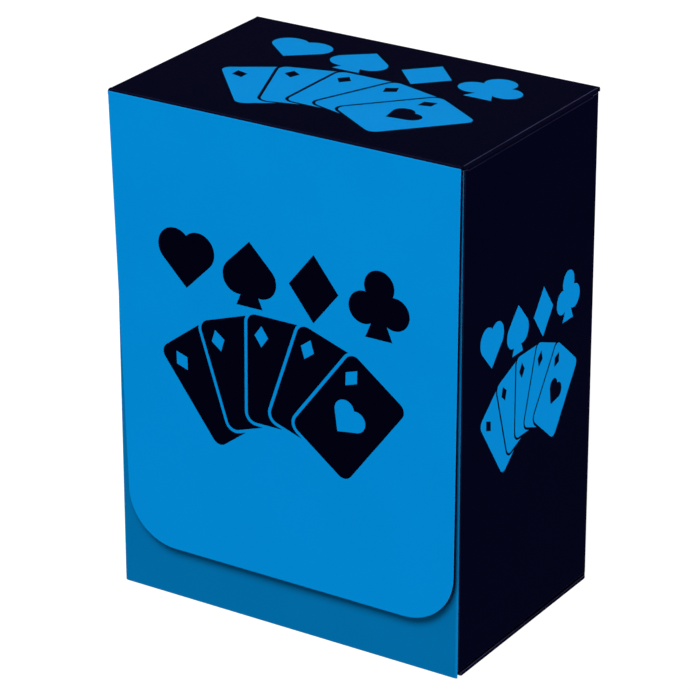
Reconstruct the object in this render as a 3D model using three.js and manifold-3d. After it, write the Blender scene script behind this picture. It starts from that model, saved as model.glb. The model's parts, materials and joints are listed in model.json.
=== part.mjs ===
// Deck box for trading cards: one die-cut, creased and welded polypropylene sheet, a lid that runs on
// from the back and ends in a long front flap, hook-and-loop coins that hold the flap shut, and a
// loose divider. Millimetres, +Z up, the front faces -Y, and the origin is the middle of the base.
import * as THREE from "three";
import { mergeVertices } from "three/addons/utils/BufferGeometryUtils.js";
import Module from "manifold-3d";

// ---- driving dimensions ----

const WIDTH = 73; // across the outside of the two side panels
const DEPTH = 47; // face of the front panel to face of the back panel
const HEIGHT = 98; // base to the top of the closed lid
const SHEET = 0.8; // polypropylene sheet that every panel is cut from

const WEB = 0.35; // sheet left in a crease that works as a hinge
const WEB_ROUND = 0.5; // outside radius of such a crease
const FOLD_SLACK = 0.15; // a hinged panel starts this much over a sheet's thickness from its crease
const WEB_GAP = 0.05; // crease strip to the panel beside it

const LAP_GAP = 0.1; // between two sheets that are welded face to face
const FLOOR_GAP = 0.2; // bottom panel to the flaps folded in above it
const LID_GAP = 0.25; // closed lid to the dust flaps and the front lip
const SIDE_GAP = 0.5; // a flap that lies inside the box to the walls beside it

const BOTTOM_INSET = 0.1; // cut ends of the bottom panel, inside the side panels' faces
const BOTTOM_FLAP_LENGTH = 24; // reach of a bottom dust flap from its side panel
const TUCK_HEIGHT = 18; // bottom tuck flap, up the inside of the front panel
const TUCK_CORNER_R = 5;
const SEAM_WIDTH = 15; // seam flap, along the inside of the back panel
const SEAM_INSET = 2; // seam flap's ends, inside its side panel's ends
const SEAM_BEVEL = 4;

const NOTCH_WIDTH = 22; // thumb notch in the front panel's lip
const NOTCH_DEPTH = 11;
const NOTCH_R = 9; // its two lower corners
const NOTCH_SHOULDER_R = 2;

const DUST_LENGTH = 22; // reach of a top dust flap from its crease
const DUST_TIP_TAPER = 1; // its front edge runs in by this much at the tip
const DUST_BACK_START = 2; // its back edge starts this far from the back panel's face
const DUST_BACK_SLOPE = 0.5; // and runs in by this share of the reach, to clear the rising lid
const DUST_CORNER_R = 4;
const RELIEF_GAP = 0.1; // ends of a dust flap's crease to the side panel's top corners

const FRONT_BAND = 10.7; // front panel left showing below the flap
const FLAP_TOP_GAP = 0.35; // front panel to flap, at the flap's crease
const FLAP_CORNER_R = 10.3;
const FLAP_TAPER_LEFT = 3.3; // how far each edge of the flap runs in at its free end
const FLAP_TAPER_RIGHT = 0.05;

const COIN_R = 7.5; // hook-and-loop coins
const COIN_FROM_SIDE = 14.5; // centre to the side panel's face
const COIN_FROM_EDGE = 14.5; // centre to the flap's free edge
const HOOK_THICKNESS = 0.45;
const LOOP_THICKNESS = 0.45;
const COIN_GAP = 0.15; // between the two faces of a closed pair
const GLUE_GAP = 0.02; // adhesive between a loop coin and the flap

const WELD_R = 1.5; // ultrasonic spot welds
const WELD_HOLE_GAP = 0.05;
const WELD_PROUD = 0.05;
const SEAM_WELDS = 5;
const SEAM_WELD_END = 13; // centre of the end welds to the ends of the back panel
const TUCK_WELD_BELOW = 4; // centre of a tuck weld to the tuck flap's top edge
const TUCK_WELD_FROM_SIDE = 12;

const DIVIDER_SIDE_GAP = 1.2; // divider to each side panel
const DIVIDER_END_GAP = 0.4; // divider to the walls at both ends of its travel
const DIVIDER_FLOOR_GAP = 0.1;
const DIVIDER_TOP_GAP = 2.4; // tab to the closed dust flaps
const DIVIDER_CORNER_R = 3;
const TAB_WIDTH = 24;
const TAB_HEIGHT = 5;
const TAB_FROM_SIDE = 6; // tab to the divider's left edge
const TAB_CORNER_R = 2.5;
const TAB_ROOT_R = 2;

const ARC_STEPS = 4; // segments of an eighth of a turn in a crease
const CORNER_STEPS = 10; // segments of a rounded corner
const ROUND_STEPS = 24; // segments of a weld
const COIN_STEPS = 48;

// ---- levels and faces worked out from them ----

const LEFT = -WIDTH / 2;
const RIGHT = WIDTH / 2;
const FRONT = -DEPTH / 2;
const BACK = DEPTH / 2;
const INNER_LEFT = LEFT + SHEET;
const INNER_RIGHT = RIGHT - SHEET;
const INNER_FRONT = FRONT + SHEET;
const INNER_BACK = BACK - SHEET;

const FOLD_CUT = SHEET + FOLD_SLACK;
const SIDE_FOOT = SHEET + FLOOR_GAP; // side panels fold in above the bottom panel
const FLOOR_TOP = SIDE_FOOT + SHEET;
const LIP = HEIGHT - SHEET - LID_GAP; // front lip and dust flap tops, just under the lid
const TUCK_FACE = INNER_FRONT + LAP_GAP;
const TUCK_INNER = TUCK_FACE + SHEET;
const SEAM_FACE = INNER_BACK - LAP_GAP;
const SEAM_INNER = SEAM_FACE - SHEET;

const DUST_ROOT_FRONT = INNER_FRONT + SIDE_GAP;
const dustBackEdge = (reach) => BACK - DUST_BACK_START - DUST_BACK_SLOPE * reach;

const FLAP_CREASE = FRONT - FLAP_TOP_GAP - SHEET; // y of the flap's outer face at its crease
const FLAP_LENGTH = HEIGHT - FRONT_BAND;
const COIN_DROP = FLAP_LENGTH - COIN_FROM_EDGE;
const COIN_STACK = HOOK_THICKNESS + LOOP_THICKNESS + COIN_GAP;
const FLAP_LEAN = Math.atan((COIN_STACK - FLAP_TOP_GAP) / COIN_DROP); // the coins hold the flap off

// ---- materials ----

const plastic = (color, roughness = 0.5) =>
  new THREE.MeshStandardMaterial({ color, roughness, metalness: 0 });
const NAVY_SHEET = plastic(0x040322);
const BLUE_PRINT = plastic(0x0083cb);
const DEEP_BLUE_PRINT = plastic(0x0069a3);
const CREASE = plastic(0x0b1440, 0.45);
const WELD = plastic(0x0d1a4a, 0.35);
const HOOK_TAPE = plastic(0x16181f, 0.8);
const LOOP_TAPE = plastic(0x1b1e28, 0.95);

// ---- solids ----

const wasm = await Module();
wasm.setup();

function solidFrom(geometry) {
  geometry.deleteAttribute("normal");
  geometry.deleteAttribute("uv");
  const merged = mergeVertices(geometry, 1e-4);
  return new wasm.Manifold(
    new wasm.Mesh({
      numProp: 3,
      vertProperties: new Float32Array(merged.attributes.position.array),
      triVerts: new Uint32Array(merged.index.array),
    }),
  );
}

function geometryFrom(solid) {
  const { vertProperties, triVerts } = solid.getMesh();
  const geometry = new THREE.BufferGeometry();
  geometry.setAttribute("position", new THREE.BufferAttribute(vertProperties, 3));
  geometry.setIndex(new THREE.BufferAttribute(triVerts, 1));
  geometry.computeVertexNormals();
  return geometry;
}

// Each view draws an outline on two axes and extrudes it along the third.
const VIEWS = {
  plan: [new THREE.Vector3(1, 0, 0), new THREE.Vector3(0, 1, 0), new THREE.Vector3(0, 0, 1)],
  side: [new THREE.Vector3(0, 1, 0), new THREE.Vector3(0, 0, 1), new THREE.Vector3(1, 0, 0)],
  front: [new THREE.Vector3(1, 0, 0), new THREE.Vector3(0, 0, 1), new THREE.Vector3(0, -1, 0)],
};

function prism(view, outline, low, high) {
  const geometry = new THREE.ExtrudeGeometry(outline, {
    depth: high - low,
    bevelEnabled: false,
    curveSegments: CORNER_STEPS,
  });
  geometry.translate(0, 0, view === "front" ? -high : low);
  geometry.applyMatrix4(new THREE.Matrix4().makeBasis(...VIEWS[view]));
  return solidFrom(geometry);
}

const outlineOf = (points) => new THREE.Shape(points.map(([a, b]) => new THREE.Vector2(a, b)));

// Outline through corners [a, b, radius], each rounded by a tangent arc.
function roundedOutline(corners) {
  const shape = new THREE.Shape();
  corners.forEach(([a, b, radius = 0], i) => {
    const corner = new THREE.Vector2(a, b);
    if (!radius) {
      i ? shape.lineTo(a, b) : shape.moveTo(a, b);
      return;
    }
    const neighbour = (step) => {
      const [x, y] = corners[(i + step + corners.length) % corners.length];
      return new THREE.Vector2(x, y).sub(corner).normalize();
    };
    const before = neighbour(-1);
    const after = neighbour(1);
    const half = Math.acos(before.dot(after)) / 2;
    const reach = radius / Math.tan(half);
    const centre = before.clone().add(after).normalize();
    centre.multiplyScalar(radius / Math.sin(half)).add(corner);
    const start = corner.clone().addScaledVector(before, reach);
    const end = corner.clone().addScaledVector(after, reach);
    const angleAt = (point) => Math.atan2(point.y - centre.y, point.x - centre.x);
    i ? shape.lineTo(start.x, start.y) : shape.moveTo(start.x, start.y);
    shape.absarc(centre.x, centre.y, radius, angleAt(start), angleAt(end), before.cross(after) > 0);
  });
  shape.closePath();
  return shape;
}

function disc(a, b, radius, steps) {
  const points = [];
  for (let i = 0; i < steps; i += 1) {
    const turn = (2 * Math.PI * i) / steps;
    points.push([a + radius * Math.cos(turn), b + radius * Math.sin(turn)]);
  }
  return outlineOf(points);
}

// One end of a panel's section: square, or half of a quarter-round crease cut on the mitre.
function sectionEnd(end, outwards, face, inward, creased) {
  const inner = face + inward * SHEET;
  if (!creased) {
    return [
      [end, face],
      [end, inner],
    ];
  }
  const centre = end - outwards * SHEET;
  const points = [];
  for (let i = 0; i <= ARC_STEPS; i += 1) {
    const turn = (Math.PI / 4) * (i / ARC_STEPS);
    points.push([
      centre + outwards * SHEET * Math.sin(turn),
      inner - inward * SHEET * Math.cos(turn),
    ]);
  }
  points.push([centre, inner]);
  return points;
}

// Section of a panel that runs from low to high with its outer face at `face`. `upright` draws it
// along the outline's second axis. `creased` says which of its two ends fold into a neighbour.
function section({ low, high, face, inward, creased, upright = false }) {
  const points = [
    ...sectionEnd(low, -1, face, inward, creased[0]),
    ...sectionEnd(high, 1, face, inward, creased[1]).reverse(),
  ];
  return outlineOf(upright ? points.map(([a, b]) => [b, a]) : points);
}

// A crease that works as a hinge: a thin strip round the outside corner at (a, b). The two panels
// lie towards aSide and bSide of it.
function webOutline(a, b, aSide, bSide) {
  const leg = FOLD_CUT - WEB_GAP;
  return roundedOutline([
    [a, b, WEB_ROUND],
    [a + aSide * leg, b],
    [a + aSide * leg, b + bSide * WEB],
    [a + aSide * WEB, b + bSide * WEB],
    [a + aSide * WEB, b + bSide * leg],
    [a, b + bSide * leg],
  ]);
}

const weldHeights = [];
for (let i = 0; i < SEAM_WELDS; i += 1) {
  const span = HEIGHT - 2 * SEAM_WELD_END;
  weldHeights.push(SEAM_WELD_END + (span * i) / (SEAM_WELDS - 1));
}
const SEAM_WELD_X = LEFT + SHEET + SEAM_WIDTH / 2;
const TUCK_WELD_Z = TUCK_HEIGHT - TUCK_WELD_BELOW;
const TUCK_WELD_X = RIGHT - TUCK_WELD_FROM_SIDE;

function seamWeldHoles(panel) {
  return weldHeights.reduce((cut, z) => {
    const hole = disc(SEAM_WELD_X, z, WELD_R + WELD_HOLE_GAP, ROUND_STEPS);
    return cut.subtract(prism("front", hole, SEAM_INNER - 1, BACK + 1));
  }, panel);
}

function tuckWeldHoles(panel) {
  return [-TUCK_WELD_X, TUCK_WELD_X].reduce((cut, x) => {
    const hole = disc(x, TUCK_WELD_Z, WELD_R + WELD_HOLE_GAP, ROUND_STEPS);
    return cut.subtract(prism("front", hole, FRONT - 1, TUCK_INNER + 1));
  }, panel);
}

// ---- the box body ----

function frontPanel() {
  const wall = section({ low: LEFT, high: RIGHT, face: FRONT, inward: 1, creased: [true, true] });
  const half = NOTCH_WIDTH / 2;
  const above = LIP + NOTCH_DEPTH;
  const notch = roundedOutline([
    [-half, LIP - NOTCH_DEPTH, NOTCH_R],
    [half, LIP - NOTCH_DEPTH, NOTCH_R],
    [half, LIP, NOTCH_SHOULDER_R],
    [half + NOTCH_WIDTH, LIP],
    [half + NOTCH_WIDTH, above],
    [-half - NOTCH_WIDTH, above],
    [-half - NOTCH_WIDTH, LIP],
    [-half, LIP, NOTCH_SHOULDER_R],
  ]);
  const cutter = prism("front", notch, FRONT - 1, INNER_FRONT + 1);
  return tuckWeldHoles(prism("plan", wall, 0, LIP).subtract(cutter));
}

// A side panel is as tall as the front lip, with a relief in its top edge for the dust flap's crease.
function sidePanel(face, inward, backFace) {
  const wall = section({
    low: FRONT,
    high: backFace,
    face,
    inward,
    creased: [true, true],
    upright: true,
  });
  const upright = section({
    low: SIDE_FOOT,
    high: LIP,
    face,
    inward,
    creased: [true, false],
    upright: true,
  });
  const low = DUST_ROOT_FRONT - RELIEF_GAP;
  const high = dustBackEdge(FOLD_CUT) + RELIEF_GAP;
  const relief = outlineOf([
    [low, LIP - FOLD_CUT],
    [high, LIP - FOLD_CUT],
    [high, HEIGHT],
    [low, HEIGHT],
  ]);
  return prism("plan", wall, 0, HEIGHT)
    .intersect(prism("front", upright, FRONT, BACK))
    .subtract(prism("side", relief, LEFT - 1, RIGHT + 1));
}

function backPanel() {
  const wall = section({ low: LEFT, high: RIGHT, face: BACK, inward: -1, creased: [false, true] });
  const upright = section({
    low: 0,
    high: HEIGHT - FOLD_CUT,
    face: BACK,
    inward: -1,
    creased: [true, false],
    upright: true,
  });
  const panel = prism("plan", wall, 0, HEIGHT).intersect(prism("side", upright, LEFT, RIGHT));
  return seamWeldHoles(panel);
}

function seamFlap() {
  const free = LEFT + SHEET + SEAM_WIDTH;
  const low = FLOOR_TOP + SEAM_INSET;
  const high = LIP - FOLD_CUT - SEAM_INSET;
  const run = section({
    low: LEFT,
    high: free,
    face: SEAM_FACE,
    inward: -1,
    creased: [true, false],
  });
  const trim = outlineOf([
    [LEFT, low],
    [free - SEAM_BEVEL, low],
    [free, low + SEAM_BEVEL],
    [free, high - SEAM_BEVEL],
    [free - SEAM_BEVEL, high],
    [LEFT, high],
  ]);
  const flap = prism("plan", run, 0, HEIGHT).intersect(prism("front", trim, FRONT, BACK));
  return seamWeldHoles(flap);
}

function bottomPanel() {
  const run = section({ low: TUCK_FACE, high: BACK, face: 0, inward: 1, creased: [true, true] });
  return prism("side", run, LEFT + BOTTOM_INSET, RIGHT - BOTTOM_INSET);
}

function bottomTuckFlap() {
  const low = INNER_LEFT + SIDE_GAP;
  const high = INNER_RIGHT - SIDE_GAP;
  const upright = section({
    low: 0,
    high: TUCK_HEIGHT,
    face: TUCK_FACE,
    inward: 1,
    creased: [true, false],
    upright: true,
  });
  const trim = roundedOutline([
    [low, 0],
    [high, 0],
    [high, TUCK_HEIGHT, TUCK_CORNER_R],
    [low, TUCK_HEIGHT, TUCK_CORNER_R],
  ]);
  const flap = prism("side", upright, low, high).intersect(prism("front", trim, FRONT, BACK));
  return tuckWeldHoles(flap);
}

function bottomDustFlap(side) {
  const crease = side * RIGHT;
  const free = side * (RIGHT - BOTTOM_FLAP_LENGTH);
  const run = section({
    low: Math.min(crease, free),
    high: Math.max(crease, free),
    face: SIDE_FOOT,
    inward: 1,
    creased: side < 0 ? [true, false] : [false, true],
  });
  return prism("front", run, TUCK_INNER + SIDE_GAP, SEAM_INNER - SIDE_GAP);
}

function seamWeld(z) {
  return prism("front", disc(SEAM_WELD_X, z, WELD_R, ROUND_STEPS), SEAM_INNER, BACK + WELD_PROUD);
}

function tuckWeld(x) {
  const spot = disc(x, TUCK_WELD_Z, WELD_R, ROUND_STEPS);
  return prism("front", spot, FRONT - WELD_PROUD, TUCK_INNER);
}

function hookCoin(x) {
  const round = disc(x, HEIGHT - COIN_DROP, COIN_R, COIN_STEPS);
  return prism("front", round, FRONT - HOOK_THICKNESS, FRONT);
}

// ---- creases that work as hinges ----

const lidHingeWeb = () => prism("side", webOutline(BACK, HEIGHT, -1, -1), LEFT, RIGHT);
const flapHingeWeb = () => prism("side", webOutline(FLAP_CREASE, HEIGHT, 1, -1), LEFT, RIGHT);
const dustHingeWeb = (side) =>
  prism(
    "front",
    webOutline(side * RIGHT, LIP, -side, -1),
    DUST_ROOT_FRONT,
    dustBackEdge(FOLD_CUT),
  );

// ---- moving panels ----

function dustFlap(side) {
  const root = side * (RIGHT - FOLD_CUT);
  const tip = side * (RIGHT - DUST_LENGTH);
  const outline = roundedOutline([
    [root, DUST_ROOT_FRONT],
    [tip, DUST_ROOT_FRONT + DUST_TIP_TAPER, DUST_CORNER_R],
    [tip, dustBackEdge(DUST_LENGTH), DUST_CORNER_R],
    [root, dustBackEdge(FOLD_CUT)],
  ]);
  return prism("plan", outline, LIP - SHEET, LIP);
}

function lidPanel() {
  const outline = outlineOf([
    [LEFT, FLAP_CREASE + FOLD_CUT],
    [RIGHT, FLAP_CREASE + FOLD_CUT],
    [RIGHT, BACK - FOLD_CUT],
    [LEFT, BACK - FOLD_CUT],
  ]);
  return prism("plan", outline, HEIGHT - SHEET, HEIGHT);
}

// The flap and its coins are drawn hanging straight down from the crease.
function frontFlap() {
  const outline = roundedOutline([
    [LEFT, -FOLD_CUT],
    [LEFT + FLAP_TAPER_LEFT, -FLAP_LENGTH, FLAP_CORNER_R],
    [RIGHT - FLAP_TAPER_RIGHT, -FLAP_LENGTH, FLAP_CORNER_R],
    [RIGHT, -FOLD_CUT],
  ]);
  return prism("front", outline, 0, SHEET);
}

function loopCoin(x) {
  const round = disc(x, -COIN_DROP, COIN_R, COIN_STEPS);
  return prism("front", round, SHEET + GLUE_GAP, SHEET + LOOP_THICKNESS);
}

function deckDivider() {
  const left = INNER_LEFT + DIVIDER_SIDE_GAP;
  const right = INNER_RIGHT - DIVIDER_SIDE_GAP;
  const foot = FLOOR_TOP + DIVIDER_FLOOR_GAP;
  const tabTop = LIP - SHEET - DIVIDER_TOP_GAP;
  const shoulder = tabTop - TAB_HEIGHT;
  const tabLeft = left + TAB_FROM_SIDE;
  const tabRight = tabLeft + TAB_WIDTH;
  const outline = roundedOutline([
    [left, foot, DIVIDER_CORNER_R],
    [right, foot, DIVIDER_CORNER_R],
    [right, shoulder, DIVIDER_CORNER_R],
    [tabRight, shoulder, TAB_ROOT_R],
    [tabRight, tabTop, TAB_CORNER_R],
    [tabLeft, tabTop, TAB_CORNER_R],
    [tabLeft, shoulder, TAB_ROOT_R],
    [left, shoulder, DIVIDER_CORNER_R],
  ]);
  const back = SEAM_INNER - DIVIDER_END_GAP;
  return prism("front", outline, back - SHEET, back);
}

// ---- assembly ----

function named(name, solid, material) {
  const mesh = new THREE.Mesh(geometryFrom(solid), material.clone());
  mesh.name = name;
  return mesh;
}

const body = new THREE.Group();
body.add(
  named("front_panel", frontPanel(), DEEP_BLUE_PRINT),
  named("right_side_panel", sidePanel(RIGHT, -1, BACK), NAVY_SHEET),
  named("left_side_panel", sidePanel(LEFT, 1, SEAM_FACE), NAVY_SHEET),
  named("back_panel", backPanel(), NAVY_SHEET),
  named("seam_flap", seamFlap(), NAVY_SHEET),
  named("bottom_panel", bottomPanel(), NAVY_SHEET),
  named("bottom_tuck_flap", bottomTuckFlap(), NAVY_SHEET),
  named("bottom_dust_flap_left", bottomDustFlap(-1), NAVY_SHEET),
  named("bottom_dust_flap_right", bottomDustFlap(1), NAVY_SHEET),
  named("lid_hinge_web", lidHingeWeb(), CREASE),
  named("dust_hinge_web_left", dustHingeWeb(-1), CREASE),
  named("dust_hinge_web_right", dustHingeWeb(1), CREASE),
  named("hook_coin_left", hookCoin(LEFT + COIN_FROM_SIDE), HOOK_TAPE),
  named("hook_coin_right", hookCoin(RIGHT - COIN_FROM_SIDE), HOOK_TAPE),
  named("tuck_weld_left", tuckWeld(-TUCK_WELD_X), WELD),
  named("tuck_weld_right", tuckWeld(TUCK_WELD_X), WELD),
  ...weldHeights.map((z, i) => named(`seam_weld_${i + 1}`, seamWeld(z), WELD)),
);

const lid = new THREE.Group();
lid.add(
  named("lid_panel", lidPanel(), NAVY_SHEET),
  named("flap_hinge_web", flapHingeWeb(), CREASE),
);

const flap = new THREE.Group();
flap.position.set(0, FLAP_CREASE, HEIGHT);
flap.rotation.x = -FLAP_LEAN;
flap.add(
  named("front_flap", frontFlap(), BLUE_PRINT),
  named("loop_coin_left", loopCoin(LEFT + COIN_FROM_SIDE), LOOP_TAPE),
  named("loop_coin_right", loopCoin(RIGHT - COIN_FROM_SIDE), LOOP_TAPE),
);
lid.add(flap);

const deckBox = new THREE.Group();
deckBox.add(
  body,
  lid,
  named("dust_flap_left", dustFlap(-1), NAVY_SHEET),
  named("dust_flap_right", dustFlap(1), NAVY_SHEET),
  named("deck_divider", deckDivider(), NAVY_SHEET),
);

export default deckBox;
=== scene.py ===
"""Looks of a folded polypropylene deck box: sheet panels with eased cut edges, crease strips at the
folds of the lid, the flap and the dust flaps, hook-and-loop coins, spot welds, and a printed
emblem of a hand of cards under the four suits."""

import json
import math
import random

import bpy
from mathutils import Matrix, Vector

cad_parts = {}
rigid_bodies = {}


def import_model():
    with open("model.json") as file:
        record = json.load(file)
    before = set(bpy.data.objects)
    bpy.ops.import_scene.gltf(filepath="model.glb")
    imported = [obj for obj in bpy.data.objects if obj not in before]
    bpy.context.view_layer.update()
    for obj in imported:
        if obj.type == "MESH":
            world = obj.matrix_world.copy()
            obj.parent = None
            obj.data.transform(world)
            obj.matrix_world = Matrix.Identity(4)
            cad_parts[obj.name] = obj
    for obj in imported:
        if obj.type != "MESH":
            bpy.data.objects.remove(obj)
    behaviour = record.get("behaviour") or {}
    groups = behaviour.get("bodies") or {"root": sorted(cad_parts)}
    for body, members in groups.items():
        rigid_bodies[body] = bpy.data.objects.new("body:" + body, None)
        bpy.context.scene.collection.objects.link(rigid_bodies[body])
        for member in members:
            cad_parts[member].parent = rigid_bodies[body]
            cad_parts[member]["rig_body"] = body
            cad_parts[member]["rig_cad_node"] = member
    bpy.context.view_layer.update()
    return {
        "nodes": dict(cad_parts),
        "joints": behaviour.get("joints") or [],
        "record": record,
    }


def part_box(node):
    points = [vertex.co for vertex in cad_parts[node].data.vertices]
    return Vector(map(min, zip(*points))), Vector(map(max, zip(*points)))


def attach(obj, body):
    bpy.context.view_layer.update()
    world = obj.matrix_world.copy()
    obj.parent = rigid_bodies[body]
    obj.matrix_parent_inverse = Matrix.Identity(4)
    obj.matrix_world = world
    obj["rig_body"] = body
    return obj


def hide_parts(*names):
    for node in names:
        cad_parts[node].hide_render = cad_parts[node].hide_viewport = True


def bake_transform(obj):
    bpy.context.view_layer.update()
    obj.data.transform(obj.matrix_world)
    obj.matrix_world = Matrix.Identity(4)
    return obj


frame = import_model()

MM = 0.001
JOINTS = {joint["name"]: joint for joint in frame["joints"]}
NODE_BODY = {
    node: body for body, nodes in frame["record"]["behaviour"]["bodies"].items() for node in nodes
}

# ---- sizes read from the frame ----

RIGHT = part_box("lid_panel")[1].x
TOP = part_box("lid_panel")[1].z
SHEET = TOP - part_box("lid_panel")[0].z
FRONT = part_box("front_panel")[0].y
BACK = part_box("back_panel")[1].y
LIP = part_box("front_panel")[1].z
FOLD_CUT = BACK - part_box("lid_panel")[1].y
LID_CREASE = Vector(JOINTS["lid_hinge"]["pos_m"])
FLAP_CREASE = Vector(JOINTS["flap_hinge"]["pos_m"])
DUST_CREASE_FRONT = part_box("dust_hinge_web_right")[0].y
DUST_CREASE_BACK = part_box("dust_hinge_web_right")[1].y
FLAP_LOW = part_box("front_flap")[0]
FLAP_LEAN = math.atan2(FLAP_CREASE.y - FLAP_LOW.y, FLAP_CREASE.z - FLAP_LOW.z)

# ---- sizes of the finish ----

DOUBLE_GAP = 0.001 * MM  # corners of one shape closer than this become one
PANEL_DOUBLE_GAP = 0.0005 * MM  # the same, in the panels' own meshes
FLAT_ANGLE = math.radians(0.3)  # faces this close to one plane become one
SHARP_ANGLE = math.radians(55)  # corners sharper than this are die-cut edges
SMOOTH_ANGLE = math.radians(50)  # faces closer than this are shaded as one round face
LOOKS_THERE = 0.9  # cosine from which a face counts as looking a given way
BROAD_FACE = 0.7  # the same, for the broad faces of a sheet
MITRE_SLACK = 0.01  # how far a mitre's normal may be off, in each part

EDGE_EASE = 0.14 * MM  # rounding of a die-cut edge
CREASE_R = 0.55 * MM  # outside radius of a hinge crease
CREASE_WEB = 0.35 * MM  # sheet left in it
CREASE_STEPS = 8
CREASE_REACH = FOLD_CUT + 0.02 * MM  # cut ends within this of a crease's line meet its strip
FINISH_WRAP = 0.93  # how squarely a fold's face looks outwards to share the panel's finish

GRAIN = 0.16 * MM  # grains of the cast sheet, across
GRAIN_RELIEF = 0.006 * MM  # and their depth
TONE_DRIFT = 16 * MM  # patches of slightly lighter and darker sheet, across
MELT_GRAIN = 0.5 * MM  # ripples of melted plastic, across
UPRIGHT_RUB_AND_HIGHLIGHT = 0.15  # share of the lighter edge colour, rub wear and painted highlight, on upright edges
SLANTED_TO_FLAT = (0.9, 0.985)  # largest part of a normal where the rub and painted highlight end
UPRIGHT_TO_LEVEL = (0.1, 0.35)  # vertical part of a normal where the rub and painted highlight become full
NOISE_SPAN = (0.3, 0.7)  # the part of its range that noise fills
RUB_AND_HIGHLIGHT_SPAN = (0.25, 0.7)  # the part of the drift over which the rub and painted highlight grow
LEAST_RUB_AND_HIGHLIGHT = 0.45  # share of the rub and painted highlight where the drift is lowest
TONE_SPREAD = 0.025  # how far the sheet's tone goes either way
TONE_LIFT = 0.0001  # keeps a little of it in the darkest colours
DRIFT_SHARE = 0.45  # of the change in tone, the rest of which is the grain's
GRAIN_SHARE = 0.55
ROUGHNESS_SPREAD = 0.06
YARN_DARK = 0.6  # share of the yarn's colour in its dark and light patches
YARN_LIGHT = 1.5

# Rim, ring and raised middle of a weld: inset as a share of its radius, and height of the step.
WELD_STEPS = ((0.18, -0.03 * MM), (0.2, -0.12 * MM), (0.3, 0.04 * MM))
WELD_END = 0.35  # share of its length, from its middle, beyond which it is coloured as its end

TAPE_BASE = 0.2 * MM  # backing of a hook or loop coin
TAPE_EASE = 0.06 * MM
COIN_RIM = 0.45 * MM  # bare rim of a coin
TUFT = 0.5 * MM  # patches of lighter and darker yarn, across
HOOK_PITCH = 0.9 * MM
HOOK_R = 0.13 * MM
HOOK_SHANK = 0.14 * MM
HOOK_BRIM = 0.015 * MM  # height of the underside of a hook's head, then of its dome
HOOK_DOME = 0.045 * MM
HOOK_HEAD = 2  # width of the head as a share of the shank's, then of its top as a share of that
HOOK_TOP = 0.6
HOOK_ROOT = 0.01 * MM  # how far a shank stands in the backing
LOOP_COUNT = 420
LOOP_R = 0.16 * MM  # of a yarn loop, then of its yarn
YARN_R = 0.032 * MM
LOOP_TILT = 0.5  # in radians, either way
LOOP_SIZES = (0.7, 1.05)

EMBLEM_WIDTH = 54 * MM  # emblem as drawn, before it is sized to a face
EMBLEM_HEIGHT = 42 * MM
SUIT_WIDTH = 12.1 * MM
SUIT_HEIGHT = 12.9 * MM
HEART_DROP = 0.06  # shares of the suits' height
BLADE_RISE = 0.1
STEM_HEIGHT = 0.42
LEAF_HEIGHT = 0.42
CLUB_STALK_HEIGHT = 0.5
BLADE_WIDTH = 0.94  # shares of the suits' width
STEM_WIDTH = 0.46
CLUB_STALK_WIDTH = 0.16
LEAF_R = 0.255
STEM_TOP = 0.18  # width of a stem's top as a share of its foot's
LEAF_SPREAD = 1.02  # middle of a side leaf from the club's own, in leaf radii
DIAMOND_WIDTH = 0.8  # width of the diamond as a share of its height
CARD_WIDTH = 14.5 * MM
CARD_HEIGHT = 21 * MM
CARD_CORNER_R = 1.8 * MM
CARD_FAN = [math.radians(angle) for angle in (37, 18.5, 0, -18.5, -37)]
CARD_REACH = 34 * MM  # top edge of a card from the point that the hand is fanned about
FAN_POINT = -EMBLEM_HEIGHT / 2 - 6 * MM
KEYLINE = 0.62 * MM  # left between two cards
SPOT_WIDTH = 2.9 * MM
SPOT_HEIGHT = 4.1 * MM
SPOT_FROM_SIDE = 3 * MM
SPOT_FROM_TOP = 4 * MM
CARD_HEART = 7 * MM
CARD_HEART_DROP = 1 * MM

FLAP_EMBLEM_MIDDLE = Vector((0.3 * MM, 0, -43.2 * MM))  # from the crease, down the flap's slope
FLAP_EMBLEM_SIZE = (54 * MM, 42 * MM)
LID_EMBLEM_MIDDLE = Vector((0.6 * MM, -0.6 * MM, TOP))
LID_EMBLEM_SIZE = (55 * MM, 36 * MM)
SIDE_EMBLEM_Y = 0.2 * MM
SIDE_EMBLEM_Z = 50.3 * MM
SIDE_EMBLEM_SIZE = (36 * MM, 31.5 * MM)
BACK_EMBLEM_MIDDLE = Vector((4 * MM, BACK, 52 * MM))
BACK_EMBLEM_SIZE = (46 * MM, 36 * MM)

INK_BLOCK = 1 * MM  # thickness that the emblem is cut at
INK_PROUD = 0.01 * MM
INK_SUNK = 0.02 * MM
CUT_SNAP = 0.0001 * MM  # how near a corner lies to a cutting plane to count as on it
MERGE_GAP = 0.002 * MM  # corners of the emblem closer than this become one
UNION_SPARE = 0.1  # each block of a union stands this many heights past the last, at both ends

UP = Vector((0, 0, 1))
X_AXIS = Vector((1, 0, 0))
Y_AXIS = Vector((0, 1, 0))


# ---- modelling helpers ----


def deselect():
    """Leaves edit mode and selects nothing."""
    if bpy.context.object and bpy.context.object.mode != "OBJECT":
        bpy.ops.object.mode_set(mode="OBJECT")
    bpy.ops.object.select_all(action="DESELECT")


def pick(piece):
    deselect()
    piece.select_set(True)
    bpy.context.view_layer.objects.active = piece


def edit(piece, mode="FACE"):
    """Opens the piece in edit mode, with its faces, edges or corners to pick from."""
    pick(piece)
    bpy.ops.object.mode_set(mode="EDIT")
    bpy.ops.mesh.select_mode(type=mode)


def leave_edit():
    bpy.ops.object.mode_set(mode="OBJECT")


def select_faces(piece, wanted):
    """Leaves edit mode, selects the faces that wanted(face) picks, and goes back in."""
    edit(piece)
    bpy.ops.mesh.select_all(action="DESELECT")
    leave_edit()
    for face in piece.data.polygons:
        face.select = wanted(face)
    bpy.ops.object.mode_set(mode="EDIT")


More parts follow.
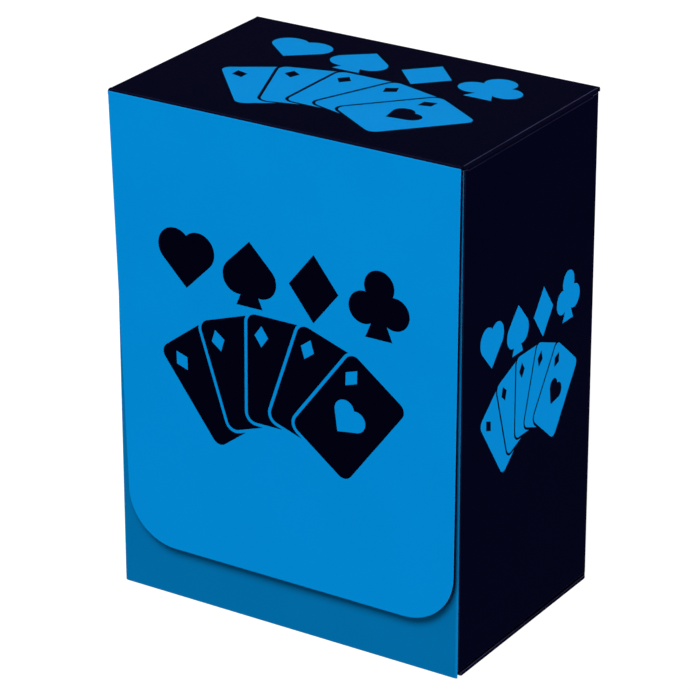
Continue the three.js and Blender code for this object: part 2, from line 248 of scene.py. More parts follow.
def new_piece(name):
    """Names what was added or joined last."""
    piece = bpy.context.object
    piece.name = name
    piece.data.name = name
    return piece


def settle(piece):
    """Puts the piece's place, turn and size into its mesh."""
    pick(piece)
    bpy.ops.object.transform_apply(location=True, rotation=True, scale=True)
    return piece


def close_up(piece, gap=DOUBLE_GAP):
    """Merges doubles and turns every face outwards."""
    edit(piece, "VERT")
    bpy.ops.mesh.select_all(action="SELECT")
    bpy.ops.mesh.remove_doubles(threshold=gap)
    bpy.ops.mesh.normals_make_consistent(inside=False)
    leave_edit()


def apply_boolean(piece, other, operation):
    modifier = piece.modifiers.new("boolean", "BOOLEAN")
    modifier.operation = operation
    modifier.solver = "EXACT"
    modifier.object = other
    pick(piece)
    bpy.ops.object.modifier_apply(modifier=modifier.name)
    bpy.data.objects.remove(other)


def twin(piece, name):
    """A copy with its own mesh."""
    copy = piece.copy()
    copy.data = piece.data.copy()
    copy.name = name
    copy.data.name = name
    bpy.context.scene.collection.objects.link(copy)
    return copy


def join(pieces, name):
    deselect()
    for piece in pieces:
        piece.select_set(True)
    bpy.context.view_layer.objects.active = pieces[0]
    bpy.ops.object.join()
    return new_piece(name)


def smooth(piece):
    """Shades round faces smooth, and keeps the flat faces beside them flat."""
    pick(piece)
    bpy.ops.object.shade_smooth_by_angle(angle=SMOOTH_ANGLE)
    weighted = piece.modifiers.new("weighted normals", "WEIGHTED_NORMAL")
    weighted.keep_sharp = True
    bpy.ops.object.modifier_apply(modifier=weighted.name)


def paint(piece, *materials):
    piece.data.materials.clear()
    for material in materials:
        piece.data.materials.append(material)


# ---- materials ----


def srgb(red, green, blue):
    """Linear colour of an 8-bit display colour."""

    def linear(value):
        value /= 255
        return value / 12.92 if value <= 0.04045 else ((value + 0.055) / 1.055) ** 2.4

    return (linear(red), linear(green), linear(blue), 1)


def mix_colour(nodes, links, factor, first, second):
    mix = nodes.new("ShaderNodeMix")
    mix.data_type = "RGBA"
    links.new(factor, mix.inputs["Factor"])
    for name, value in (("A", first), ("B", second)):
        socket = next(s for s in mix.inputs if s.name == name and s.type == "RGBA")
        if isinstance(value, tuple):
            socket.default_value = value
        else:
            links.new(value, socket)
    return next(s for s in mix.outputs if s.type == "RGBA")


def map_range(nodes, links, value, low, high, to_low, to_high):
    node = nodes.new("ShaderNodeMapRange")
    node.interpolation_type = "SMOOTHSTEP"
    links.new(value, node.inputs["Value"])
    node.inputs["From Min"].default_value = low
    node.inputs["From Max"].default_value = high
    node.inputs["To Min"].default_value = to_low
    node.inputs["To Max"].default_value = to_high
    return node.outputs["Result"]


def noise(nodes, links, place, size, detail):
    """Noise whose grains are about `size` metres across."""
    node = nodes.new("ShaderNodeTexNoise")
    links.new(place, node.inputs["Vector"])
    node.inputs["Scale"].default_value = 1 / size
    node.inputs["Detail"].default_value = detail
    return node.outputs["Fac"]


def multiply(nodes, links, first, second):
    node = nodes.new("ShaderNodeMath")
    node.operation = "MULTIPLY"
    links.new(first, node.inputs[0])
    links.new(second, node.inputs[1])
    return node.outputs["Value"]


def rubbed_and_lit_edge_mask(nodes, links, normal):
    """Mask of the lighter edge colour, partly rub wear and partly painted highlight: 1 on eased
    edges and round folds that face partly up or down, where a box rubs most and where a painted
    highlight stands for the light on its top edges, less on its upright edges, and 0 on flats."""
    absolute = nodes.new("ShaderNodeVectorMath")
    absolute.operation = "ABSOLUTE"
    links.new(normal, absolute.inputs[0])
    axes = nodes.new("ShaderNodeSeparateXYZ")
    links.new(absolute.outputs["Vector"], axes.inputs["Vector"])
    largest = axes.outputs["X"]
    for name in ("Y", "Z"):
        node = nodes.new("ShaderNodeMath")
        node.operation = "MAXIMUM"
        links.new(largest, node.inputs[0])
        links.new(axes.outputs[name], node.inputs[1])
        largest = node.outputs["Value"]
    slanted = map_range(nodes, links, largest, *SLANTED_TO_FLAT, 1.0, 0.0)
    level = map_range(nodes, links, axes.outputs["Z"], *UPRIGHT_TO_LEVEL, UPRIGHT_RUB_AND_HIGHLIGHT, 1.0)
    return multiply(nodes, links, slanted, level)


def tinted(colour, share, lift=0.0):
    """The colour times a share, with a little added to each channel if asked."""
    return tuple(min(channel * share + lift, 1) for channel in colour[:3]) + (1,)


def sheet_material(name, colour, rubbed_and_lit_colour, roughness=0.5, specular=0.025, grain=GRAIN):
    """Matt cast polypropylene: fine grain, slight drift in tone, edges and folds painted lighter,
    partly as rub wear and partly as a painted highlight.
    """
    material = bpy.data.materials.new(name)
    material.use_nodes = True
    nodes, links = material.node_tree.nodes, material.node_tree.links
    shader = nodes["Principled BSDF"]
    shader.inputs["Specular IOR Level"].default_value = specular
    place = nodes.new("ShaderNodeTexCoord")

    drift = noise(nodes, links, place.outputs["Object"], TONE_DRIFT, 3)
    speck = noise(nodes, links, place.outputs["Object"], grain, 2)
    darker = tinted(colour, 1 - TONE_SPREAD)
    lighter = tinted(colour, 1 + TONE_SPREAD, TONE_LIFT)
    mottle = nodes.new("ShaderNodeMath")
    mottle.operation = "ADD"
    links.new(map_range(nodes, links, drift, *NOISE_SPAN, 0.0, DRIFT_SHARE), mottle.inputs[0])
    links.new(map_range(nodes, links, speck, *NOISE_SPAN, 0.0, GRAIN_SHARE), mottle.inputs[1])
    body = mix_colour(nodes, links, mottle.outputs["Value"], darker, lighter)
    # Edges and folds turn towards the lighter colour: partly rub wear, partly painted highlight.
    rubbed_and_lit_edges = rubbed_and_lit_edge_mask(nodes, links, place.outputs["Normal"])
    rub_and_highlight_drift = map_range(nodes, links, drift, *RUB_AND_HIGHLIGHT_SPAN, LEAST_RUB_AND_HIGHLIGHT, 1.0)
    share = multiply(nodes, links, rubbed_and_lit_edges, rub_and_highlight_drift)
    links.new(mix_colour(nodes, links, share, body, rubbed_and_lit_colour), shader.inputs["Base Color"])
    smoothest, roughest = roughness - ROUGHNESS_SPREAD, roughness + ROUGHNESS_SPREAD
    matt = map_range(nodes, links, speck, *NOISE_SPAN, smoothest, roughest)
    links.new(matt, shader.inputs["Roughness"])
    bump = nodes.new("ShaderNodeBump")
    bump.inputs["Strength"].default_value = 0.35
    bump.inputs["Distance"].default_value = GRAIN_RELIEF
    links.new(speck, bump.inputs["Height"])
    links.new(bump.outputs["Normal"], shader.inputs["Normal"])
    return material


def fibre_material(name, colour, sheen):
    """Nylon hook or loop tape."""
    material = bpy.data.materials.new(name)
    material.use_nodes = True
    nodes, links = material.node_tree.nodes, material.node_tree.links
    shader = nodes["Principled BSDF"]
    shader.inputs["Specular IOR Level"].default_value = 0.3
    shader.inputs["Sheen Weight"].default_value = sheen
    shader.inputs["Roughness"].default_value = 0.7
    place = nodes.new("ShaderNodeTexCoord")
    tuft = noise(nodes, links, place.outputs["Object"], TUFT, 4)
    tone = map_range(nodes, links, tuft, *NOISE_SPAN, 0.0, 1.0)
    dark, light = tinted(colour, YARN_DARK), tinted(colour, YARN_LIGHT)
    links.new(mix_colour(nodes, links, tone, dark, light), shader.inputs["Base Color"])
    return material


NAVY = srgb(1, 1, 22)
NAVY_INK = srgb(0, 0, 15)
BLUE = srgb(0, 131, 203)
DEEP_BLUE = srgb(0, 105, 163)

# The third colour of each sheet material is its edge colour: partly rub wear, partly a painted
# highlight on edges and folds.
NAVY_SHEET = sheet_material("navy sheet", NAVY, srgb(48, 50, 78))
CUT_EDGE = sheet_material("die-cut edge", srgb(4, 4, 24), srgb(52, 54, 82), roughness=0.4)
BLUE_PRINT = sheet_material("bright blue print", BLUE, srgb(20, 138, 204))
DEEP_BLUE_PRINT = sheet_material("deep blue print", DEEP_BLUE, srgb(30, 120, 174))
INK_FINISH = {"roughness": 0.42, "specular": 0.035}
NAVY_INK_FILM = sheet_material("navy ink", NAVY_INK, srgb(6, 8, 30), **INK_FINISH)
BLUE_INK_FILM = sheet_material("blue ink", BLUE, BLUE, **INK_FINISH)
CREASE = sheet_material("pressed crease", srgb(3, 3, 24), srgb(7, 7, 30), roughness=0.42)
MELTED = {"specular": 0.3, "grain": MELT_GRAIN}
WELD_SPOT = sheet_material(
    "melted weld", srgb(10, 12, 52), srgb(30, 34, 84), roughness=0.28, **MELTED
)
BLUE_WELD = sheet_material(
    "melted print", srgb(0, 90, 142), srgb(10, 104, 156), roughness=0.3, **MELTED
)
TAPE_BACKING = fibre_material("tape backing", srgb(10, 11, 18), sheen=0.1)
HOOK_NYLON = fibre_material("hook nylon", srgb(44, 47, 58), sheen=0.1)
LOOP_NYLON = fibre_material("loop nylon", srgb(30, 33, 44), sheen=0.4)


# ---- sheet panels ----


def is_mitre(normal):
    """The hidden 45 degree faces where two panels share a fold."""
    sizes = sorted(abs(value) for value in normal)
    return sizes[0] < MITRE_SLACK and abs(sizes[1] - sizes[2]) < MITRE_SLACK


def ease_edges(piece):
    """Rounds the die-cut edges, but not the mitres or the ends that a crease strip runs on from."""
    faces_of = {}
    for face in piece.data.polygons:
        for key in face.edge_keys:
            faces_of.setdefault(key, []).append(face)
    sharp = set()
    for key, faces in faces_of.items():
        if len(faces) != 2 or any(is_mitre(face.normal) for face in faces):
            continue
        middle = (piece.data.vertices[key[0]].co + piece.data.vertices[key[1]].co) / 2
        if faces[0].normal.angle(faces[1].normal) > SHARP_ANGLE and not near_a_crease(middle):
            sharp.add(key)
    edit(piece, "EDGE")
    bpy.ops.mesh.select_all(action="DESELECT")
    leave_edit()
    for line in piece.data.edges:
        line.select = line.key in sharp
    bpy.ops.object.mode_set(mode="EDIT")
    bpy.ops.mesh.bevel(offset=EDGE_EASE, segments=2, profile=0.5, clamp_overlap=True)
    leave_edit()


def near_a_crease(point):
    """True on the cut ends that meet a hinge crease's strip."""
    for crease in (LID_CREASE, FLAP_CREASE):
        offset = point - crease
        if abs(offset.y) < CREASE_REACH and abs(offset.z) < CREASE_REACH:
            return True
    beside = abs(abs(point.x) - RIGHT) < CREASE_REACH and abs(point.z - LIP) < CREASE_REACH
    return beside and DUST_CREASE_FRONT < point.y < DUST_CREASE_BACK


def finished_sheet(node, thin_axis, print_material=None, print_side=None):
    """The node's own shape with merged faces, eased edges, a printed face and cut edges."""
    piece = twin(frame["nodes"][node], f"{node}_sheet")
    piece.parent = None
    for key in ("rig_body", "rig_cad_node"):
        del piece[key]
    edit(piece, "VERT")
    bpy.ops.mesh.select_all(action="SELECT")
    bpy.ops.mesh.remove_doubles(threshold=PANEL_DOUBLE_GAP)
    bpy.ops.mesh.dissolve_limited(angle_limit=FLAT_ANGLE)
    bpy.ops.mesh.customdata_custom_splitnormals_clear()
    leave_edit()
    ease_edges(piece)
    paint(piece, NAVY_SHEET, CUT_EDGE, print_material or NAVY_SHEET)
    for face in piece.data.polygons:
        across = face.normal.dot(thin_axis)
        face.material_index = 1 if abs(across) < BROAD_FACE else 0
        if print_side and face.normal.dot(print_side) > BROAD_FACE:
            face.material_index = 2
    smooth(piece)
    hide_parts(node)
    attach(piece, NODE_BODY[node])


finished_sheet("front_panel", Y_AXIS, DEEP_BLUE_PRINT, -Y_AXIS)
finished_sheet("front_flap", Y_AXIS, BLUE_PRINT, -Y_AXIS)
for across_depth in ("back_panel", "seam_flap", "bottom_tuck_flap", "deck_divider"):
    finished_sheet(across_depth, Y_AXIS)
for across_width in ("right_side_panel", "left_side_panel"):
    finished_sheet(across_width, X_AXIS)
for level in ("bottom_panel", "lid_panel"):
    finished_sheet(level, UP)
for hand in ("left", "right"):
    finished_sheet(f"bottom_dust_flap_{hand}", UP)
    finished_sheet(f"dust_flap_{hand}", UP)


# ---- crease strips ----


def crease_strip(name, node, corner, first, second, along, outer_print=None):
    """Thin strip round the outside corner of a fold: from the panel that lies towards `first`,
    round the corner, to the panel that lies towards `second`. `along` is the fold's own line."""
    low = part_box(node)[0].dot(along)
    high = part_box(node)[1].dot(along)
    corner = corner - along * corner.dot(along)
    middle = corner + along * (low + high) / 2
    deselect()
    bpy.ops.mesh.primitive_plane_add(size=1)
    strip = new_piece(name)
    axes = Matrix((along, second, along.cross(second))).transposed().to_4x4()
    size = Matrix.Diagonal((high - low, CREASE_WEB, 1, 1))
    start = middle + first * FOLD_CUT + second * CREASE_WEB / 2
    strip.matrix_world = Matrix.Translation(start) @ axes @ size
    settle(strip)
    leg = FOLD_CUT - CREASE_R
    edit(strip)
    bpy.ops.mesh.select_all(action="SELECT")
    bpy.ops.mesh.extrude_region_move(TRANSFORM_OT_translate={"value": -first * leg})
    bpy.ops.mesh.spin(
        steps=CREASE_STEPS,
        angle=math.pi / 2,
        center=middle + (first + second) * CREASE_R,
        axis=first.cross(second),
    )
    bpy.ops.mesh.extrude_region_move(TRANSFORM_OT_translate={"value": second * leg})
    leave_edit()
    close_up(strip)
    paint(strip, CREASE, NAVY_SHEET, outer_print or NAVY_SHEET)
    for face in strip.data.polygons:
        if outer_print and face.normal.dot(-first) > FINISH_WRAP:
            face.material_index = 2
        elif max(face.normal.dot(-first), face.normal.dot(-second)) > FINISH_WRAP:
            face.material_index = 1
    smooth(strip)
    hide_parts(node)
    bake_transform(strip)


crease_strip(
    "lid_crease", "lid_hinge_web", LID_CREASE, -UP, -Y_AXIS, X_AXIS
)
crease_strip(
    "flap_crease", "flap_hinge_web", FLAP_CREASE, Y_AXIS, -UP, X_AXIS, BLUE_PRINT
)
for side, word in ((-1, "left"), (1, "right")):
    crease_strip(
        f"dust_crease_{word}",
        f"dust_hinge_web_{word}",
        Vector(JOINTS[f"dust_flap_{word}_hinge"]["pos_m"]),
        -UP,
        -X_AXIS * side,
        Y_AXIS,
    )


# ---- spot welds ----


def weld_spot(node, outward, print_weld):
    """Melted slug through two sheets, with a pressed rim and ring round a raised middle."""
    low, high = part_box(node)
    radius = (high.x - low.x) / 2
    spot_middle = (low + high) / 2
    spot_depth = high.y - low.y
    deselect()
    bpy.ops.mesh.primitive_cylinder_add(
        vertices=32,
        radius=radius,
        depth=spot_depth,
        location=spot_middle,
        rotation=(math.pi / 2, 0, 0),
    )
    spot = settle(new_piece(f"{node}_spot"))
    for side in (outward, -outward):
        select_faces(spot, lambda face, side=side: face.normal.dot(side) > LOOKS_THERE)
        for share, step in WELD_STEPS:
            bpy.ops.mesh.inset(thickness=radius * share)
            bpy.ops.transform.translate(value=side * step)
        leave_edit()
    paint(spot, WELD_SPOT, print_weld)
    for face in spot.data.polygons:
        on_end = (face.center - spot_middle).dot(outward) > spot_depth * WELD_END
        face.material_index = int(on_end)
    smooth(spot)
    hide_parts(node)
    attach(spot, NODE_BODY[node])


for spot_node in [node for node in frame["nodes"] if node.startswith("seam_weld")]:
    weld_spot(spot_node, Y_AXIS, WELD_SPOT)
for spot_node in ("tuck_weld_left", "tuck_weld_right"):
    weld_spot(spot_node, -Y_AXIS, BLUE_WELD)


# ---- hook and loop coins ----

ON_FLAP = Matrix.Translation(FLAP_CREASE) @ Matrix.Rotation(-FLAP_LEAN, 4, "X")


def box_middle(node):
    low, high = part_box(node)
    return (low + high) / 2


def coin_base(node, name):
    """Backing of a coin, lying on the origin, face up, and its radius."""
    low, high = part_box(node)
    radius = (high.x - low.x) / 2
    deselect()
    bpy.ops.mesh.primitive_cylinder_add(
        vertices=64, radius=radius, depth=TAPE_BASE, location=(0, 0, TAPE_BASE / 2)
    )
    base = new_piece(name)
    select_faces(base, lambda face: face.normal.z > LOOKS_THERE)
    bpy.ops.mesh.bevel(offset=TAPE_EASE, segments=2)
    leave_edit()
    return base, radius


def stud(name):
    """One mushroom hook, standing on the origin."""
    deselect()
    bpy.ops.mesh.primitive_cylinder_add(
        vertices=6, radius=HOOK_R, depth=HOOK_SHANK, location=(0, 0, HOOK_SHANK / 2)
    )
    piece = new_piece(name)
    settle(piece)
    select_faces(piece, lambda face: face.normal.z > LOOKS_THERE)
    bpy.ops.mesh.extrude_region_move(TRANSFORM_OT_translate={"value": (0, 0, HOOK_BRIM)})
    bpy.ops.transform.resize(value=(HOOK_HEAD, HOOK_HEAD, 1))
    bpy.ops.mesh.extrude_region_move(TRANSFORM_OT_translate={"value": (0, 0, HOOK_DOME)})
    bpy.ops.transform.resize(value=(HOOK_TOP, HOOK_TOP, 1))
    leave_edit()
    return piece


def loop(name):
    """One yarn loop, its lower half in the backing."""
    deselect()
    bpy.ops.mesh.primitive_torus_add(
        major_segments=9,
        minor_segments=4,
        major_radius=LOOP_R,
        minor_radius=YARN_R,
        rotation=(math.pi / 2, 0, 0),
    )
    return settle(new_piece(name))


def seat_coin(coin, node, place):
    """Moves a coin, drawn face up on the origin, to its place on a panel."""
    coin.matrix_world = place
    settle(coin)
    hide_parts(node)
    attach(coin, NODE_BODY[node])


def hook_coin(node):
    """Rows of hooks on the front panel's coin."""
    base, radius = coin_base(node, f"{node}_tape")
    paint(base, TAPE_BACKING)
    hook = stud("hook")
    paint(hook, HOOK_NYLON)
    inside = radius - COIN_RIM
    count = int(inside / HOOK_PITCH)
    pieces = [base]
    for row in range(-count - 1, count + 2):
        for column in range(-count - 1, count + 2):
            x = (column + 0.5 * (row % 2)) * HOOK_PITCH
            y = row * HOOK_PITCH * math.sqrt(3) / 2
            if math.hypot(x, y) < inside:
                copy = twin(hook, "hook_copy")
                copy.location = (x, y, TAPE_BASE - HOOK_ROOT)
                pieces.append(copy)
    bpy.data.objects.remove(hook)
    coin = settle(join(pieces, f"{node}_tape"))
    centre = box_middle(node)
    on_panel = Matrix.Translation((centre.x, FRONT, centre.z))
    seat_coin(coin, node, on_panel @ Matrix.Rotation(math.pi / 2, 4, "X"))


def loop_coin(node, seed):
    """Tangle of yarn loops on the flap's coin."""
    base, radius = coin_base(node, f"{node}_tape")
    paint(base, TAPE_BACKING)
    yarn = loop("yarn")
    paint(yarn, LOOP_NYLON)
    draw = random.Random(seed)
    pieces = [base]
    for _ in range(LOOP_COUNT):
        reach = (radius - COIN_RIM) * math.sqrt(draw.random())
        bearing = draw.uniform(0, 2 * math.pi)
        copy = twin(yarn, "yarn_copy")
        copy.location = (reach * math.cos(bearing), reach * math.sin(bearing), TAPE_BASE)
        tilt = draw.uniform(-LOOP_TILT, LOOP_TILT)
        copy.rotation_euler = (tilt, 0, draw.uniform(0, math.pi))
        copy.scale = [draw.uniform(*LOOP_SIZES)] * 3
        pieces.append(copy)
    bpy.data.objects.remove(yarn)
    coin = settle(join(pieces, f"{node}_tape"))

    centre = box_middle(node)
    drop = (centre.z - FLAP_CREASE.z) / math.cos(FLAP_LEAN)
    inside_flap = ON_FLAP @ Matrix.Translation((centre.x, SHEET, drop))
    seat_coin(coin, node, inside_flap @ Matrix.Rotation(-math.pi / 2, 4, "X"))


for word, seed in (("left", 3), ("right", 8)):
    hook_coin(f"hook_coin_{word}")
    loop_coin(f"loop_coin_{word}", seed)


# ---- printed emblem: four suits over a hand of five cards ----


def disc(radius, x, y):
    """Flat round block."""
    deselect()
    bpy.ops.mesh.primitive_cylinder_add(
        vertices=56, radius=radius, depth=INK_BLOCK, location=(x, y, INK_BLOCK / 2)
    )
    return settle(new_piece("disc"))


def tile(width, height, x=0.0, y=0.0, corner=0.0, turn=0.0, top_share=1.0):
    """Flat four-sided block, put at (x, y) and then turned about the origin."""
    deselect()
    bpy.ops.mesh.primitive_plane_add(size=1)
    block = new_piece("tile")
    block.scale = (width, height, 1)
    settle(block)
    edit(block, "VERT")
    bpy.ops.mesh.select_all(action="SELECT")
    if corner:
        bpy.ops.mesh.bevel(offset=corner, segments=6, affect="VERTICES")
    if top_share != 1:
        bpy.ops.mesh.select_all(action="DESELECT")
        leave_edit()
        for vertex in block.data.vertices:
            if vertex.co.y > 0:
                vertex.co.x *= top_share
        bpy.ops.object.mode_set(mode="EDIT")
        bpy.ops.mesh.select_all(action="SELECT")
    bpy.ops.mesh.select_mode(type="FACE")
    bpy.ops.mesh.select_all(action="SELECT")
    bpy.ops.mesh.extrude_region_move(TRANSFORM_OT_translate={"value": (0, 0, INK_BLOCK)})
    bpy.ops.mesh.normals_make_consistent(inside=False)
    leave_edit()
    block.matrix_world = Matrix.Rotation(turn, 4, "Z") @ Matrix.Translation((x, y, 0))
    return settle(block)


def deepen(cutter):
    """Makes a cutter stand proud of the block on both faces."""
    cutter.location.z = -INK_BLOCK / 2
    cutter.scale.z = 2
    return settle(cutter)


def union(pieces, name):
    """Joins blocks. Each is made a little taller than the last, so that no two faces lie in one
    plane, and the whole is trimmed back to one block's height."""
    for index, piece in enumerate(pieces, start=1):
        spare = UNION_SPARE * INK_BLOCK * index
        piece.location.z = -spare
        piece.scale.z = 1 + 2 * spare / INK_BLOCK
        settle(piece)
    first = pieces[0]
    for other in pieces[1:]:
        apply_boolean(first, other, "UNION")
    close_up(first, MERGE_GAP)
    edit(first)
    for height, side in ((0, -1), (INK_BLOCK, 1)):
        bpy.ops.mesh.select_all(action="SELECT")
        bpy.ops.mesh.bisect(
            plane_co=(0, 0, height),
            plane_no=(0, 0, side),
            use_fill=True,
            clear_outer=True,
            threshold=CUT_SNAP,
        )
    leave_edit()
    first.name = name
    return first


def heart_blocks(width, x, y, upside_down=False):
    """The square and the two discs of a heart, drawn round the origin, then moved to (x, y)."""
    side = width / (1 + math.sqrt(0.5))
    lobe = side / (2 * math.sqrt(2))
    blocks = [
        tile(side, side, turn=math.pi / 4),
        disc(side / 2, -lobe, lobe),
        disc(side / 2, lobe, lobe),
    ]
    turn = Matrix.Rotation(math.pi if upside_down else 0, 4, "Z")
    for block in blocks:
        block.matrix_world = Matrix.Translation((x, y, 0)) @ turn
        settle(block)
    return blocks


def stem(x, foot):
    """Foot of a spade or a club, narrowing upwards."""
    width, height = SUIT_WIDTH * STEM_WIDTH, SUIT_HEIGHT * STEM_HEIGHT
    return tile(width, height, x, foot + height / 2, top_share=STEM_TOP)


def suit_row():
    """Heart, spade, diamond and club, side by side along the emblem's top edge."""
    width, height = SUIT_WIDTH, SUIT_HEIGHT
    y = EMBLEM_HEIGHT / 2 - height / 2
    pitch = EMBLEM_WIDTH / 4
    centres = [(index - 1.5) * pitch for index in range(4)]
    foot = y - height / 2
    heart = union(heart_blocks(width, centres[0], y - height * HEART_DROP), "heart")
    blade_y = y + height * BLADE_RISE
    blade = heart_blocks(width * BLADE_WIDTH, centres[1], blade_y, upside_down=True)
    spade = union(blade + [stem(centres[1], foot)], "spade")
    half = height / 2
    diamond = tile(half * math.sqrt(2), half * math.sqrt(2), turn=math.pi / 4)
    diamond.scale.x = DIAMOND_WIDTH
    diamond.location = (centres[2], y, 0)
    settle(diamond)
    leaf = width * LEAF_R
    club = union(
        [
            disc(leaf, centres[3], foot + height - leaf),
            disc(leaf, centres[3] - leaf * LEAF_SPREAD, foot + height * LEAF_HEIGHT),
            disc(leaf, centres[3] + leaf * LEAF_SPREAD, foot + height * LEAF_HEIGHT),
            tile(width * CLUB_STALK_WIDTH, height * CLUB_STALK_HEIGHT, centres[3], y),
            stem(centres[3], foot),
        ],
        "club",
    )
    return [heart, spade, diamond, club]


def spot(width, height, turn, x, y):
    """Cutter for a diamond spot, standing upright on a card that is turned by `turn`."""
    cutter = tile(1, 1, turn=math.pi / 4)
    cutter.scale = (width / math.sqrt(2), height / math.sqrt(2), 1)
    settle(cutter)
    cutter.matrix_world = Matrix.Rotation(turn, 4, "Z") @ Matrix.Translation((x, y, 0))
    return deepen(settle(cutter))


def hand_of_cards():
    """Five cards fanned about a point below the emblem, each a keyline clear of the next, with a
    spot in the corner of each and a heart on the front one."""
    middle = CARD_REACH - CARD_HEIGHT / 2
    cards = [
        tile(CARD_WIDTH, CARD_HEIGHT, 0, middle, CARD_CORNER_R, turn) for turn in CARD_FAN
    ]
    spot_x = SPOT_FROM_SIDE - CARD_WIDTH / 2
    spot_y = CARD_REACH - SPOT_FROM_TOP
    room = 2 * KEYLINE
    for index, card in enumerate(cards):
        for turn in CARD_FAN[index + 1 :]:
            cutter = tile(
                CARD_WIDTH + room, CARD_HEIGHT + room, 0, middle, CARD_CORNER_R + KEYLINE, turn
            )
            apply_boolean(card, deepen(cutter), "DIFFERENCE")
        corner_spot = spot(SPOT_WIDTH, SPOT_HEIGHT, CARD_FAN[index], spot_x, spot_y)
        apply_boolean(card, corner_spot, "DIFFERENCE")
    heart_y = middle - CARD_HEART_DROP
    centre_heart = union(heart_blocks(CARD_HEART, 0, heart_y), "centre heart")
    centre_heart.matrix_world = Matrix.Rotation(CARD_FAN[-1], 4, "Z")
    apply_boolean(cards[-1], deepen(settle(centre_heart)), "DIFFERENCE")
    for card in cards:
        card.location.y = FAN_POINT
        settle(card)
    return cards


def draw_emblem():
    """The whole emblem as one block, face up, with its middle on the origin."""
    emblem = join(suit_row() + hand_of_cards(), "emblem")
    edit(emblem, "VERT")
    bpy.ops.mesh.select_all(action="SELECT")
    bpy.ops.mesh.remove_doubles(threshold=MERGE_GAP)
    bpy.ops.mesh.dissolve_limited(angle_limit=FLAT_ANGLE)
    bpy.ops.mesh.normals_make_consistent(inside=False)
    leave_edit()
    return emblem


def print_emblem(emblem, name, body, place, film_size, ink):
    """A copy of the emblem as an ink film. `place` stands its drawing plane on the face."""
    width, height = film_size
    film = twin(emblem, name)
    thickness = (INK_PROUD + INK_SUNK) / INK_BLOCK
    size = Matrix.Diagonal((width / EMBLEM_WIDTH, height / EMBLEM_HEIGHT, thickness, 1))
    film.matrix_world = place @ Matrix.Translation((0, 0, -INK_SUNK)) @ size
    settle(film)
    paint(film, ink)
    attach(film, body)


def facing(centre, outward, up):
    """Matrix that stands a flat drawing on a face: its up along `up`, its front along `outward`."""
    across = up.cross(outward)
    return Matrix.Translation(centre) @ Matrix((across, up, outward)).transposed().to_4x4()


EMBLEM = draw_emblem()
flap_place = ON_FLAP @ facing(FLAP_EMBLEM_MIDDLE, -Y_AXIS, UP)
print_emblem(
    EMBLEM, "flap_emblem", "flap", flap_place, FLAP_EMBLEM_SIZE, NAVY_INK_FILM
)
lid_place = facing(LID_EMBLEM_MIDDLE, UP, Y_AXIS)
print_emblem(EMBLEM, "lid_emblem", "lid", lid_place, LID_EMBLEM_SIZE, BLUE_INK_FILM)
for side, word in ((1, "right"), (-1, "left")):
    side_middle = Vector((side * RIGHT, SIDE_EMBLEM_Y, SIDE_EMBLEM_Z))
    side_place = facing(side_middle, X_AXIS * side, UP)
    name = f"{word}_side_emblem"
    print_emblem(EMBLEM, name, "box", side_place, SIDE_EMBLEM_SIZE, BLUE_INK_FILM)
back_place = facing(BACK_EMBLEM_MIDDLE, Y_AXIS, UP)
print_emblem(
    EMBLEM, "back_emblem", "box", back_place, BACK_EMBLEM_SIZE, BLUE_INK_FILM
)
bpy.data.objects.remove(EMBLEM)


# ---- floor, light and camera ----

FLOOR_SIZE = 8
FLOOR_DROP = 0.05 * MM  # clear of the box's underside
FLOOR_TONE = (0.16, 0.16, 0.16, 1)
FLOOR_GLOW = 0.92
BACKDROP_R = 4
BACKDROP_TONE = (0, 0, 0, 1)
BACKDROP_GLOW = 0.96
WHITE = (1, 1, 1, 1)
AMBIENT = 0.1

# Name, direction, distance, width, height, strength, and whether gloss shows it.
LIGHTS = (
    ("high front light", (0.18, -0.645, 0.745), 2.6, 1.3, 0.85, 1.17, True),
    ("low front light", (0.05, -1, 0.08), 2.6, 1.6, 0.5, 0.2, False),
    ("right light", (1, 0.05, 0.1), 2.0, 0.7, 0.4, 0.74, False),
    ("back light", (-0.3, 1, 0.12), 2.0, 1.2, 0.5, 1.03, False),
    ("left light", (-1, 0.05, 0.1), 2.0, 0.7, 0.4, 0.63, False),
)

CAMERA_PLACE = (0.33412, -0.52726, 0.3206)
CAMERA_BEARING = 32.459
CAMERA_TILT = 23.675
CAMERA_LENS = 191.49


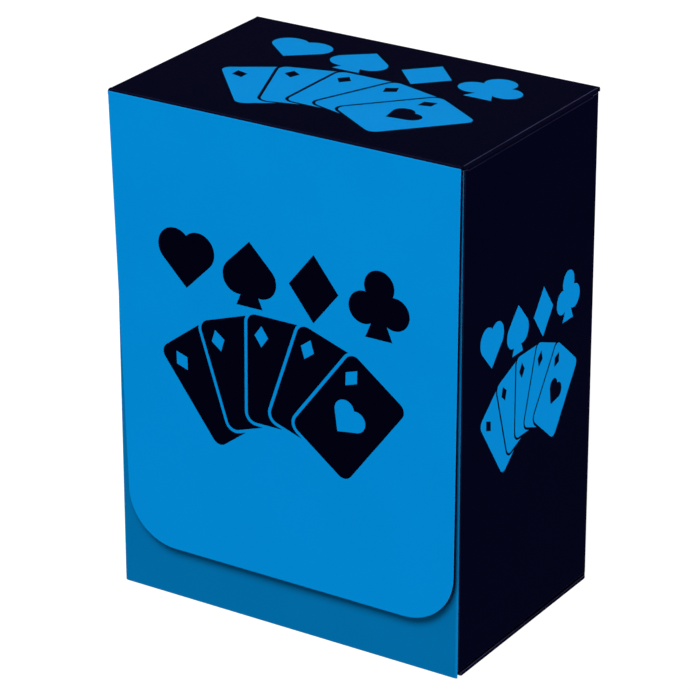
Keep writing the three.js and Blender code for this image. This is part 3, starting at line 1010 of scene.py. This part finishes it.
def stage_material(name, colour, glow):
    material = bpy.data.materials.new(name)
    material.use_nodes = True
    shader = material.node_tree.nodes["Principled BSDF"]
    shader.inputs["Base Color"].default_value = colour
    shader.inputs["Roughness"].default_value = 0.9
    shader.inputs["Specular IOR Level"].default_value = 0.0
    shader.inputs["Emission Color"].default_value = WHITE
    shader.inputs["Emission Strength"].default_value = glow
    return material


def soft_light(name, direction, distance, width, height, strength, in_gloss):
    """Panel light, aimed at the box, that lights a white card facing it to `strength`."""
    target = Vector((0, 0, TOP / 2))
    place = target + Vector(direction).normalized() * distance
    bpy.ops.object.light_add(type="AREA", location=place)
    lamp = bpy.context.object
    lamp.name = name
    lamp.data.shape = "RECTANGLE"
    lamp.data.size = width
    lamp.data.size_y = height
    lamp.data.energy = strength * math.pi**2 * distance**2
    lamp.rotation_euler = (target - place).to_track_quat("-Z", "Y").to_euler()
    lamp.visible_glossy = in_gloss


deselect()
bpy.ops.mesh.primitive_plane_add(size=FLOOR_SIZE, location=(0, 0, -FLOOR_DROP))
floor = new_piece("floor")
floor.visible_glossy = False
floor.visible_diffuse = False
paint(floor, stage_material("pale floor", FLOOR_TONE, FLOOR_GLOW))
deselect()
bpy.ops.mesh.primitive_uv_sphere_add(radius=BACKDROP_R, segments=48, ring_count=24)
backdrop = new_piece("backdrop")
for ray in ("visible_diffuse", "visible_glossy", "visible_shadow", "visible_transmission"):
    setattr(backdrop, ray, False)
paint(backdrop, stage_material("pale backdrop", BACKDROP_TONE, BACKDROP_GLOW))

world = bpy.data.worlds.new("studio")
bpy.context.scene.world = world
world.use_nodes = True
world.node_tree.nodes["Background"].inputs["Color"].default_value = WHITE
world.node_tree.nodes["Background"].inputs["Strength"].default_value = AMBIENT
bpy.context.scene.view_settings.view_transform = "Standard"

for light in LIGHTS:
    soft_light(*light)

bpy.ops.object.camera_add(
    location=CAMERA_PLACE,
    rotation=(math.radians(90 - CAMERA_TILT), 0, math.radians(CAMERA_BEARING)),
)
camera = bpy.context.object
camera.data.lens = CAMERA_LENS
camera.data.sensor_width = 36
camera.data.clip_start = 0.05
camera.data.clip_end = 20
bpy.context.scene.camera = camera
